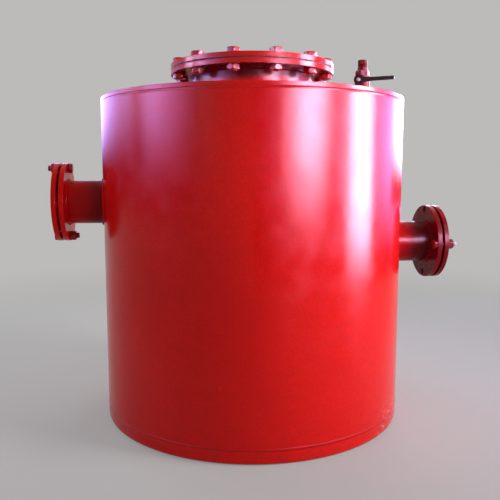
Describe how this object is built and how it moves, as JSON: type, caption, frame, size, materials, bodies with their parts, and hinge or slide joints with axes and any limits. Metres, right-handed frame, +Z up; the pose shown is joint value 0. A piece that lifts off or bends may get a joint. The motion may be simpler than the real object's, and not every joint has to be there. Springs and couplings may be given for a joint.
{
  "type": "water-seal flame arrestor",
  "caption": "Flat-topped red steel water-seal tank with a dipped gas inlet, a higher gas outlet, a bolted relief mouth with a burst membrane and a lever-operated fill valve.",
  "frame": {"origin": "centre of the tank's flat underside, on the tank's axis", "axes": "+Z up the tank's axis, +X along the inlet nozzle, -X along the outlet nozzle, -Y the side that the picture shows"},
  "size_m": [1.0952, 0.8505, 0.959],
  "materials": {
    "tank_enamel": "gloss",
    "flange_enamel": "gloss",
    "fastener_enamel": "worn gloss",
    "inner_primer": "matt",
    "valve_enamel": "gloss",
    "black_rubber": "matt",
    "lever_black": "satin",
    "zinc_steel": "satin",
    "ball_chrome": "polished",
    "seat_white": "matt"
  },
  "bodies": {
    "tank": {"tank_shell": "tank_enamel", "bottom_head": "tank_enamel", "top_plate": "tank_enamel", "relief_neck": "flange_enamel", "relief_flange": "flange_enamel", "burst_membrane": "black_rubber", "clamp_ring": "flange_enamel", "relief_bolts": "fastener_enamel", "relief_nuts": "fastener_enamel", "outlet_nozzle": "flange_enamel", "outlet_flange": "flange_enamel", "outlet_gasket": "black_rubber", "outlet_companion": "flange_enamel", "outlet_bolts": "fastener_enamel", "outlet_nuts": "fastener_enamel", "splash_baffle": "inner_primer", "inlet_nozzle": "flange_enamel", "inlet_flange": "flange_enamel", "inlet_gasket": "black_rubber", "inlet_companion": "flange_enamel", "inlet_bolts": "fastener_enamel", "inlet_nuts": "fastener_enamel", "dip_elbow": "inner_primer", "dip_tube": "inner_primer", "dip_stays": "inner_primer", "valve_riser": "valve_enamel", "valve_body": "valve_enamel", "valve_tailpiece": "valve_enamel", "valve_spout": "valve_enamel", "valve_seats": "seat_white", "stem_packing": "seat_white", "packing_nut": "valve_enamel", "drain_socket": "tank_enamel", "drain_plug": "fastener_enamel", "level_socket": "tank_enamel", "level_plug": "fastener_enamel"},
    "valve_spindle": {"valve_ball": "ball_chrome", "valve_stem": "zinc_steel", "lever": "lever_black", "lever_nut": "zinc_steel"}
  },
  "joints": [
    {"name": "lever_turn", "type": "hinge", "parent": "tank", "child": "valve_spindle", "pos_m": [0.307, 0, 0.902], "axis": [-0.509, -0.8607, 0], "range_deg": [0, 90]}
  ]
}
